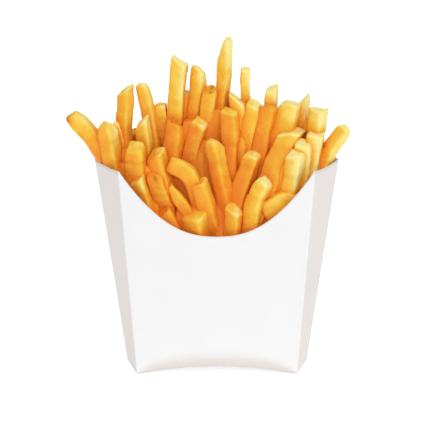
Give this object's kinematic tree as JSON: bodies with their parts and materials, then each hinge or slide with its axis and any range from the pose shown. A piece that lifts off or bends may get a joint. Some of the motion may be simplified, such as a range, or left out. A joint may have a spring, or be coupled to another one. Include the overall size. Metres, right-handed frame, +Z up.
{
  "type": "french fries in a carton",
  "caption": "French fries standing in a plain folded paperboard scoop carton with a dipped front and a raised back.",
  "frame": {"origin": "middle of the whole object's box, on the table that the carton stands on; the carton's own middle is 3.6 mm to the right of it", "axes": "+Z up, out of the carton; -Y towards the viewer, out of the front panel with the dipped edge; +X to the right as seen from the front"},
  "size_m": [0.1367, 0.0478, 0.1655],
  "materials": {
    "paperboard": "plain white bleached paperboard, smooth and slightly silky, unprinted, with crisp folds",
    "fried_potato": "fried potato sticks, golden yellow to orange, with a thin crisp skin that has a slight oily sheen"
  },
  "bodies": {
    "root": {"carton": "paperboard", "fries": "fried_potato"}
  },
  "joints": []
}
